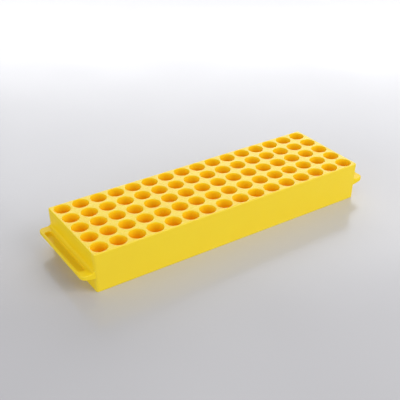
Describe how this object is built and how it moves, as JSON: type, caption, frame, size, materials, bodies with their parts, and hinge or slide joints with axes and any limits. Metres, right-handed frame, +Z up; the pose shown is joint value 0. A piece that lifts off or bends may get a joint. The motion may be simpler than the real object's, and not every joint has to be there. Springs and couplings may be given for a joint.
{
  "type": "microcentrifuge tube rack",
  "caption": "Low rectangular rack with a grid of blind round wells for microcentrifuge tubes, drafted side walls and a hollowed hand grip at mid-height on each end.",
  "frame": {"origin": "middle of the base, on the surface the rack stands on", "axes": "+X along the rack to its right end, +Y to its back, +Z up out of the wells"},
  "size_m": [0.2294, 0.0664, 0.028],
  "materials": {
    "polypropylene": "as-moulded yellow polypropylene, fine satin sheen, slightly translucent"
  },
  "bodies": {
    "root": {"well_row_a": "polypropylene", "well_row_b": "polypropylene", "well_row_c": "polypropylene", "well_row_d": "polypropylene", "well_row_e": "polypropylene", "front_wall": "polypropylene", "back_wall": "polypropylene", "left_end_wall": "polypropylene", "right_end_wall": "polypropylene", "left_grip": "polypropylene", "right_grip": "polypropylene"}
  },
  "joints": []
}
